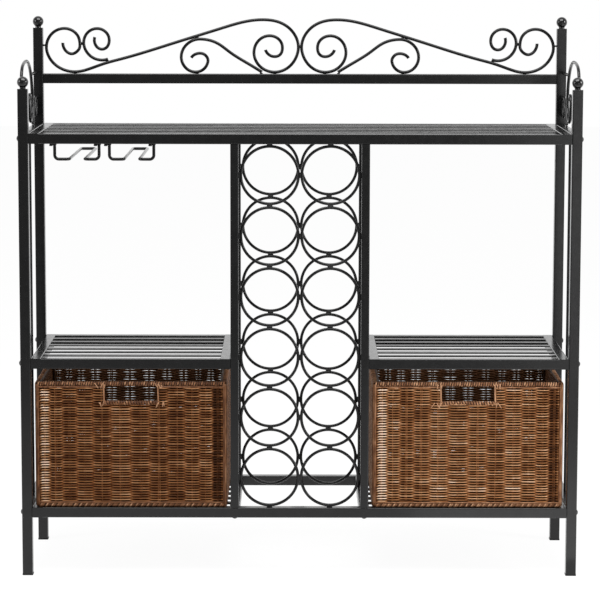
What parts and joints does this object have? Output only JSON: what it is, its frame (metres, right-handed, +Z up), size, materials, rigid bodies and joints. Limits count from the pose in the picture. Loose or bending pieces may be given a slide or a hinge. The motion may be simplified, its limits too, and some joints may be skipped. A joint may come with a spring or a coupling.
{
  "type": "bakers rack",
  "caption": "Black tubular steel bakers rack with slatted shelves, a ring wine rack between two open bays, scrollwork top, stemware hangers and sliding wicker baskets.",
  "frame": {"origin": "centre of the rack's footprint on the floor", "axes": "+X to the user's right along the rack's width, +Y to the back, +Z up; the front faces -Y"},
  "size_m": [1.0984, 0.3422, 1.091],
  "materials": {
    "tube_steel": "satin black powder coat on square tube and flat bar",
    "wire_steel": "satin black powder coat on round wire",
    "finial_steel": "glossier black powder coat on the ball finials",
    "fastener_steel": "black oxide steel fasteners",
    "cap_plastic": "black moulded foot caps",
    "wicker": "lacquered brown woven wicker",
    "basket_wire": "dark painted wire skeleton"
  },
  "bodies": {
    "frame": {"bottom_divider_rails": "tube_steel", "bottom_end_rails": "tube_steel", "bottom_front_rail": "tube_steel", "bottom_rear_rail": "tube_steel", "bottom_slats_left": "tube_steel", "bottom_slats_right": "tube_steel", "crest_curl_left": "wire_steel", "crest_curl_right": "wire_steel", "crest_rail": "tube_steel", "crest_s_scroll_left": "wire_steel", "crest_s_scroll_right": "wire_steel", "crest_scroll_left": "wire_steel", "crest_scroll_right": "wire_steel", "finials_front": "finial_steel", "finials_rear": "finial_steel", "foot_caps": "cap_plastic", "hanger_screws": "fastener_steel", "mid_shelf_left_end_rails": "tube_steel", "mid_shelf_left_front_rail": "tube_steel", "mid_shelf_left_rear_rail": "tube_steel", "mid_shelf_left_slats": "tube_steel", "mid_shelf_right_end_rails": "tube_steel", "mid_shelf_right_front_rail": "tube_steel", "mid_shelf_right_rear_rail": "tube_steel", "mid_shelf_right_slats": "tube_steel", "post_front_left": "tube_steel", "post_front_right": "tube_steel", "post_rear_left": "tube_steel", "post_rear_right": "tube_steel", "scroll_welds": "wire_steel", "shelf_bolts": "fastener_steel", "shelf_nuts": "fastener_steel", "shelf_pins": "fastener_steel", "side_crossbars_left": "tube_steel", "side_crossbars_right": "tube_steel", "side_curl_left": "wire_steel", "side_curl_right": "wire_steel", "side_rods": "wire_steel", "side_scroll_left": "wire_steel", "side_scroll_right": "wire_steel", "stemware_hanger_inner": "wire_steel", "stemware_hanger_outer": "wire_steel", "top_shelf_cross_rails": "tube_steel", "top_shelf_end_rails": "tube_steel", "top_shelf_front_rail": "tube_steel", "top_shelf_rear_rail": "tube_steel", "top_shelf_slats": "tube_steel", "wine_post_bolts": "fastener_steel", "wine_post_front_left": "tube_steel", "wine_post_front_right": "tube_steel", "wine_post_plugs": "fastener_steel", "wine_post_rear_left": "tube_steel", "wine_post_rear_right": "tube_steel", "wine_ring_welds": "wire_steel", "wine_rings_front": "wire_steel", "wine_rings_rear": "wire_steel"},
    "basket_left": {"basket_left_body": "wicker", "basket_left_frame": "basket_wire"},
    "basket_right": {"basket_right_body": "wicker", "basket_right_frame": "basket_wire"}
  },
  "joints": [
    {"name": "basket_left_slide", "type": "slide", "parent": "frame", "child": "basket_left", "axis": [0, -1, 0], "range_m": [0, 0.3]},
    {"name": "basket_right_slide", "type": "slide", "parent": "frame", "child": "basket_right", "axis": [0, -1, 0], "range_m": [0, 0.3]}
  ]
}
